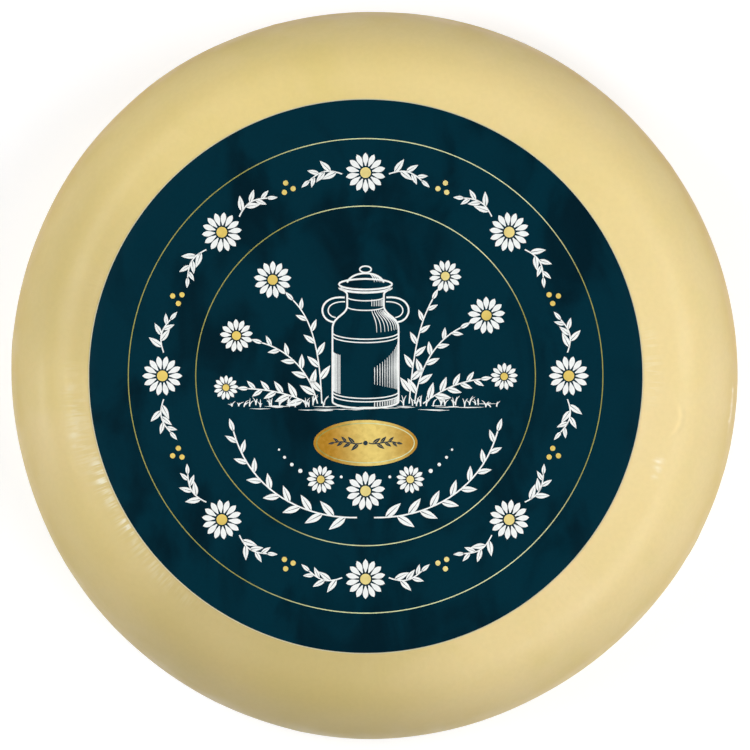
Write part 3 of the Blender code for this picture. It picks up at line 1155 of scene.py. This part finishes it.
churn = {
    "halfWidth": 15.5,
    "foot": -12.0,
    "top": 22.0,
    "shoulder": 28.0,
    "neck": 8.6,
    "neckFoot": 32.5,
    "neckTop": 38.0,
    "flare": 40.0,
    "mouth": 11.6,
    "mouthLevel": 41.6,
    "sag": 3.2,              # how far the front of a hoop hangs below its ends
    "outline": 0.85,
    "detail": 0.55,
    "hatch": 0.42,
}


def hoop(half, level, width):
    return line(bow(0.0, level, half, churn["sag"] * half / churn["halfWidth"], 180.0, 360.0, 22), width)


def churnOutline():
    wide, foot, top, shoulder = churn["halfWidth"], churn["foot"], churn["top"], churn["shoulder"]
    neck, neckFoot, neckTop = churn["neck"], churn["neckFoot"], churn["neckTop"]
    flare, mouth, mouthLevel = churn["flare"], churn["mouth"], churn["mouthLevel"]
    outline, detail = churn["outline"], churn["detail"]
    half = [
        line([(wide, foot), (wide, (foot + top) / 2.0), (wide, top)], outline),
        line(bezier((wide, top), (wide, shoulder), (neck + 0.8, shoulder), (neck, neckFoot)), outline),
        line([(neck, neckFoot), (neck, neckTop)], outline),
        line(bezier((neck, neckTop), (neck, flare), (mouth, flare), (mouth, mouthLevel), 8), outline),
    ]
    hoops = [
        hoop(wide, foot, outline),
        hoop(wide, foot + 3.0, detail),
        hoop(wide, foot + 4.6, detail),
        hoop(wide, top - 3.2, detail),
        hoop(wide, top - 1.6, detail),
        hoop(neck, neckFoot, detail),
        hoop(neck, neckTop - 1.0, detail),
        hoop(mouth, mouthLevel, outline),
    ]
    return half + mirrored(half) + hoops


def churnLid():
    level, brim = churn["mouthLevel"], churn["mouth"] + 0.9
    outline, detail = churn["outline"], churn["detail"]
    dome = bezier((-8.6, level + 2.2), (-6.5, level + 8.0), (6.5, level + 8.0), (8.6, level + 2.2))
    strokes = [
        line(bow(0.0, level + 1.4, brim, 2.5), outline),
        line(bow(0.0, level - 0.2, brim, 2.5, 180.0, 360.0), detail),
        line(dome, outline),
        line(bow(0.0, level + 8.4, 2.7, 1.5), detail + 0.15),
    ]
    for x in (-1.5, 1.5):
        strokes.append(line([(x, level + 6.4), (x * 0.9, level + 7.4)], detail))
    for x in (4.2, 5.4, 6.5, 7.4):
        top = (x * 0.5, level + 6.0)
        shine = bezier((x, level + 2.4), (x * 0.9, level + 4.6), (x * 0.7, level + 5.6), top, 6)
        strokes.append(line(shine, churn["hatch"], 0.6))
    return strokes


def churnHandles():
    outer = bezier((14.9, 25.2), (22.5, 26.0), (23.0, 38.0), (9.8, 36.8), 16)
    inner = bezier((14.0, 27.4), (19.2, 28.0), (19.4, 35.2), (9.6, 34.8), 16)
    pair = [line(outer, churn["outline"]), line(inner, churn["detail"])]
    return pair + mirrored(pair)


# Upright lines on the round body, closer together where it turns away.
def churnHatching():
    wide, foot, top, shoulder = churn["halfWidth"], churn["foot"], churn["top"], churn["shoulder"]
    neck, neckFoot, neckTop, hatch = churn["neck"], churn["neckFoot"], churn["neckTop"], churn["hatch"]
    strokes = []
    for degrees in range(16, 86, 5):
        x = wide * math.sin(math.radians(degrees))
        sag = churn["sag"] * math.cos(math.radians(degrees))
        low = foot + 5.6 - sag
        high = top - 4.0 - sag
        length = high - low
        cut = 0.55 * (1.0 - degrees / 86.0)
        upright = [(x, low + length * cut * 0.5), (x, (low + high) / 2.0), (x, high - length * cut)]
        strokes.append(line(upright, hatch, 0.5))
        if degrees > 50:
            strokes.append(line([(-x, low), (-x, high - length * 0.25)], hatch))
        strokes.append(line([(x, foot + 0.6 - sag), (x, foot + 2.6 - sag)], hatch))
    for degrees in range(20, 84, 8):
        lean = math.sin(math.radians(degrees))
        start = (wide * lean, top + 0.6 - 2.4 * math.cos(math.radians(degrees)))
        end = (neck * lean, neckFoot - 1.6)
        curve = bezier(start, (start[0], shoulder - 0.6), (end[0] * 1.1, shoulder), end, 8)
        strokes.append(line(curve, hatch, 0.5))
        x = neck * lean
        strokes.append(line([(x, neckFoot + 0.2), (x, neckTop - 2.2)], hatch, 0.3))
    return strokes


meadow = {
    "ground": -13.6,
    "halfWidth": 64.0,
    "tufts": 46,
    "bladeHeight": (2.4, 6.4),
    "bladeWidths": [0.55, 0.52, 0.46, 0.38, 0.28, 0.10],
    "groundStrokes": 26,
    "groundWidth": 0.42,
    "stemWidth": 0.6,
    "seed": 12,
}
# Flower stems as (foot, first control, second control, tip) with the flower's radius
flowerStems = (
    (((23.0, -13.0), (25.0, 4.0), (33.0, 17.0), (44.5, 22.5)), 8.8),
    (((20.5, -13.0), (22.5, 14.0), (26.0, 26.0), (31.5, 36.0)), 7.6),
    (((27.0, -13.0), (36.0, -6.0), (45.0, -2.5), (54.0, -1.5)), 6.4),
    (((-22.5, -13.0), (-26.0, 2.0), (-36.0, 12.0), (-48.5, 15.5)), 7.8),
    (((-20.5, -13.0), (-21.5, 16.0), (-26.5, 28.0), (-34.0, 35.5)), 8.8),
    (((-26.5, -13.0), (-35.0, -8.5), (-44.0, -6.5), (-55.0, -6.0)), 5.8),
)


def meadowStems():
    return [line(bezier(*corners), meadow["stemWidth"]) for corners, radius in flowerStems]


# The flower heads sit a little beyond the tips of their stems.
def flowerPlaces():
    places = []
    for (foot, first, second, tip), radius in flowerStems:
        run = math.hypot(tip[0] - second[0], tip[1] - second[1])
        reach = (radius * 1.02 + 4.6) / run
        places.append((tip[0] + (tip[0] - second[0]) * reach, tip[1] + (tip[1] - second[1]) * reach, radius))
    return places


def meadowGrass():
    chance = random.Random(meadow["seed"])
    half, ground = meadow["halfWidth"], meadow["ground"]
    strokes = []
    for i in range(meadow["tufts"]):
        x = half * (2.0 * (i + chance.random()) / meadow["tufts"] - 1.0)
        if abs(x) < churn["halfWidth"] + 1.6:
            continue
        lower = 1.0 - 0.55 * (abs(x) / half) ** 2
        foot = ground - 1.2 * chance.random()
        for blade in range(chance.choice((2, 3, 3, 4))):
            lean = chance.uniform(-2.6, 2.6)
            height = chance.uniform(*meadow["bladeHeight"]) * lower
            bend, tip = (x + lean * 0.4, foot + height * 0.8), (x + lean, foot + height)
            curve = bezier((x, foot), (x, foot + height * 0.5), bend, tip, 5)
            strokes.append((curve, meadow["bladeWidths"], False))
    for i in range(meadow["groundStrokes"]):
        x = chance.uniform(-0.9, 0.9) * half
        reach = chance.uniform(2.0, 6.5)
        y = ground - chance.uniform(0.6, 3.0) + 0.0004 * x * x
        strokes.append(line([(x - reach, y), (x, y - 0.15), (x + reach, y)], meadow["groundWidth"], 0.8))
    return strokes


# Lower half: two laurel branches round the plaque, and flowers between them

laurelBranch = ((4.0, -66.5), (28.0, -67.0), (54.0, -55.0), (62.0, -26.0))
lowerFlowers = ((0.0, -54.0, 9.2), (21.0, -48.6, 6.6), (-21.0, -48.6, 6.6))
lowerBeads = (
    (11.4, -47.4, 0.7),
    (30.6, -44.6, 1.0),
    (34.6, -41.6, 0.85),
    (38.0, -38.2, 0.7),
    (40.6, -34.6, 0.55),
)
plaque = {
    "x": 0.0,
    "y": -31.5,
    "halfWidth": 24.4,
    "halfHeight": 10.8,
    "inset": 1.5,            # of the fine line inside its edge
    "lineWidth": 0.45,
    "proud": 0.0001,         # how thick its foil is, in metres
    "lineProud": 0.00015,
    "sprigProud": 0.00016,
}


# The plaque as a mesh of rings, so that it bends with the label.
def plaqueMesh(rings=6, steps=64):
    x, y, wide, high = plaque["x"], plaque["y"], plaque["halfWidth"], plaque["halfHeight"]
    work = bmesh.new()
    middle = work.verts.new((x * mm, y * mm, 0.0))
    loops = []
    for ring in range(1, rings + 1):
        share = ring / rings
        outline = bow(x, y, wide * share, high * share, 0.0, 360.0, steps)[:-1]
        loops.append([work.verts.new((across * mm, along * mm, 0.0)) for across, along in outline])
    for i in range(steps):
        following = (i + 1) % steps
        work.faces.new((middle, loops[0][i], loops[0][following]))
        for inner, outer in zip(loops, loops[1:]):
            work.faces.new((inner[i], outer[i], outer[following], inner[following]))
    mesh = bpy.data.meshes.new("plaque_shape")
    work.to_mesh(mesh)
    work.free()
    return linkPiece("plaque_shape", mesh)


# Border: flowers and sprigs between the two gold rings

border = {
    "outerRing": 111.4,
    "innerRing": 79.7,
    "ringWidth": 0.46,
    "ringProud": 0.0001,
    "middle": 95.4,
    "repeats": 8,
    "flower": 9.4,
    "sprig": (6.6, 9.4, 2.4),    # degrees from the flower, degrees that it runs, how far it bows out
    "sprigWidth": 0.6,
    "berry": 1.25,
    "berrySpread": (1.35, 2.6, -1.2),    # degrees apart, how far out the single one and the pair lie
}
borderRing = {"Copies": border["repeats"], "Ring Radius": border["middle"] * mm}


# A point of the border's middle line, as seen from the repeat's own flower.
def borderPoint(degrees, out=0.0):
    angle = math.radians(degrees)
    radius = border["middle"] + out
    return radius * math.sin(angle), radius * math.cos(angle) - border["middle"]


def borderSprigs():
    start, run, bowed = border["sprig"]
    stem = [borderPoint(start + run * i / 10.0, bowed * math.sin(math.pi * i / 10.0)) for i in range(11)]
    half = [line(stem, border["sprigWidth"])]
    return half + mirrored(half)


def borderBerries():
    between = 360.0 / border["repeats"] / 2.0
    apart, outer, inner = border["berrySpread"]
    places = (
        borderPoint(between, outer),
        borderPoint(between - apart, inner),
        borderPoint(between + apart, inner),
    )
    return [disc(x, y, border["berry"], 12) for x, y in places]


# The three printed pieces

def makeWhitePrint():
    places = flowerPlaces() + list(lowerFlowers)
    flowers = [stroke for x, y, radius in places for stroke in daisy(x, y, radius, 13, quarterTurn + x / 9.0)]
    branch = [line(bezier(*laurelBranch, 20), 0.7)]
    beads = [disc(x, y, radius, 10) for x, y, radius in lowerBeads]
    churnLines = churnOutline() + churnLid() + churnHandles()
    borderFlower = daisy(0.0, 0.0, border["flower"], 14, quarterTurn)
    rows = (
        ("churn_lines", churnLines, plainInk, {}),
        ("churn_hatching", churnHatching(), plainInk, {}),
        ("meadow_stems", meadowStems(), plainInk, {"Leaves": 10, "Leaf Length": 0.0084}),
        ("meadow_flowers", flowers, plainInk, {}),
        ("meadow_grass", meadowGrass(), plainInk, {}),
        ("laurel", branch + mirrored(branch), plainInk, {"Leaves": 15, "Leaf Length": 0.0098}),
        ("lower_beads", beads + mirrored(beads), plainInk, {}),
        ("border_flowers", borderFlower, plainInk, borderRing),
        ("border_sprigs", borderSprigs(), plainInk, {**borderRing, "Leaves": 7, "Leaf Length": 0.0078}),
    )
    return makePrintPiece("white_print", printed(rows))


def makeGoldPrint():
    ringFoil, flowerFoil = makeGoldFoil("ring"), makeGoldFoil("flower")
    radii = (border["outerRing"], border["innerRing"])
    rings = [line(bow(0.0, 0.0, radius, radius, 0.0, 360.0, 240), border["ringWidth"]) for radius in radii]
    hearts = [disc(x, y, radius * heartShare) for x, y, radius in flowerPlaces() + list(lowerFlowers)]
    borderHearts = [disc(0.0, 0.0, border["flower"] * heartShare)] + borderBerries()
    wide, high = plaque["halfWidth"] - plaque["inset"], plaque["halfHeight"] - plaque["inset"]
    plaqueLine = line(bow(plaque["x"], plaque["y"], wide, high, 0.0, 360.0, 80), plaque["lineWidth"])
    rows = (
        ("gold_rings", rings, ringFoil, {"Proud": border["ringProud"]}),
        ("flower_hearts", hearts, flowerFoil, {"Proud": heartProud}),
        ("border_hearts", borderHearts, flowerFoil, {**borderRing, "Proud": heartProud}),
        ("plaque_face", plaqueMesh(), makePlaqueFoil(), {"Proud": plaque["proud"]}),
        ("plaque_line", [plaqueLine], ringFoil, {"Proud": plaque["lineProud"]}),
    )
    return makePrintPiece("gold_print", printed(rows))


def makeDarkPrint():
    darkInk = makeDarkInk()
    x, y, proud = plaque["x"], plaque["y"], plaque["sprigProud"]
    curve = bezier((x + 1.5, y), (x + 5.0, y - 1.4), (x + 10.0, y + 1.6), (x + 14.5, y + 0.2), 10)
    sprig = [line(curve, 0.5)]
    leaves = {"Leaves": 8, "Leaf Length": 0.0048, "Proud": proud}
    rows = (
        ("plaque_sprigs", sprig + mirrored(sprig), darkInk, leaves),
        ("plaque_bead", [disc(x, y, 1.1)], darkInk, {"Proud": proud}),
    )
    return makePrintPiece("dark_print", printed(rows))


makeWhitePrint()
makeGoldPrint()
makeDarkPrint()
bpy.data.objects.remove(leafShape, do_unlink=True)


# Studio: a plain pale floor, soft lights and a pale surround

studioLook = {
    "floorSize": 12.0,
    "floorColour": (0.77, 0.78, 0.805, 1.0),
    "floorGlow": (0.56, 1.28),       # light of its own near the wheel and far off, so that it stays pale
    "floorGlowReach": (0.40, 1.15),
    "surround": (1.0, 1.0, 1.0, 1.0),
    "horizon": 0.0,
    "ceiling": 0.02,
    "ceilingSpread": (0.25, 0.80),   # from this height of the surround to this one it grows bright
    "backdrop": 0.93,
}
lightColour = (1.0, 1.0, 1.0)
# Each light: where it stands, its size in metres and its strength in watts
studioLights = {
    "over_right": ((0.90, 0.10, 1.30), 0.80, 8.9),
    "over_left": ((-0.80, 0.15, 1.20), 0.80, 10.0),
    "front_right": ((0.70, -0.60, 1.20), 0.70, 7.0),
    "back_left": ((-0.60, 0.70, 1.20), 0.70, 1.4),
    "glint_left": ((-0.60, -0.24, 1.40), 0.10, 0.7),
    "rim_left": ((-1.20, -0.10, 0.20), 0.30, 2.1),
    "side_right": ((1.20, -0.05, 0.35), 0.35, 0.4),
}


def makeFloorFinish():
    material, tree, shader, place = newMaterial("pale_floor")
    shade = grainOf(tree, place, 3.0, 2.0, 0.99, 1.0)
    tree.links.new(scaled(tree, studioLook["floorColour"][:3], shade), shader.inputs["Base Color"])
    shader.inputs["Roughness"].default_value = 0.75
    shader.inputs["Specular IOR Level"].default_value = 0.2
    shader.inputs["Emission Color"].default_value = studioLook["floorColour"]
    away = vectorCalc(tree, "LENGTH", place)
    glow = rangeOf(tree, away, *studioLook["floorGlowReach"], *studioLook["floorGlow"])
    tree.links.new(glow, shader.inputs["Emission Strength"])
    return material


def makeFloor():
    floorMesh = bpy.data.meshes.new("floor")
    half = studioLook["floorSize"] / 2.0
    corners = [(-half, -half, 0.0), (half, -half, 0.0), (half, half, 0.0), (-half, half, 0.0)]
    floorMesh.from_pydata(corners, [], [(0, 1, 2, 3)])
    floorMesh.materials.append(makeFloorFinish())
    linkPiece("floor", floorMesh)


def makeLights():
    for name, (where, size, strength) in studioLights.items():
        light = bpy.data.lights.new(name, "AREA")
        light.shape = "DISK"
        light.size = size
        light.energy = strength
        light.color = lightColour
        lamp = bpy.data.objects.new(name, light)
        lamp.location = where
        lamp.rotation_euler = (-Vector(where)).to_track_quat("-Z", "Y").to_euler()
        lamp.visible_camera = False
        bpy.context.scene.collection.objects.link(lamp)


# The surround is brightest overhead, like a wide soft ceiling, and the camera sees it pale all round.
def makeSurround():
    world = bpy.data.worlds.new("studio_surround")
    world.use_nodes = True
    bpy.context.scene.world = world
    tree = world.node_tree
    height = partsOf(tree, addNode(tree, "ShaderNodeTexCoord").outputs["Generated"])["Z"]
    look = studioLook
    ceiling = rangeOf(tree, height, *look["ceilingSpread"], look["horizon"], look["ceiling"])
    seen = addNode(tree, "ShaderNodeLightPath").outputs["Is Camera Ray"]
    strength = rangeOf(tree, seen, 0.0, 1.0, ceiling, look["backdrop"], smooth=False)
    background = tree.nodes["Background"]
    background.inputs["Color"].default_value = look["surround"]
    tree.links.new(strength, background.inputs["Strength"])


bpy.context.scene.view_settings.view_transform = "Standard"
makeFloor()
makeLights()
makeSurround()
print("studio ready")
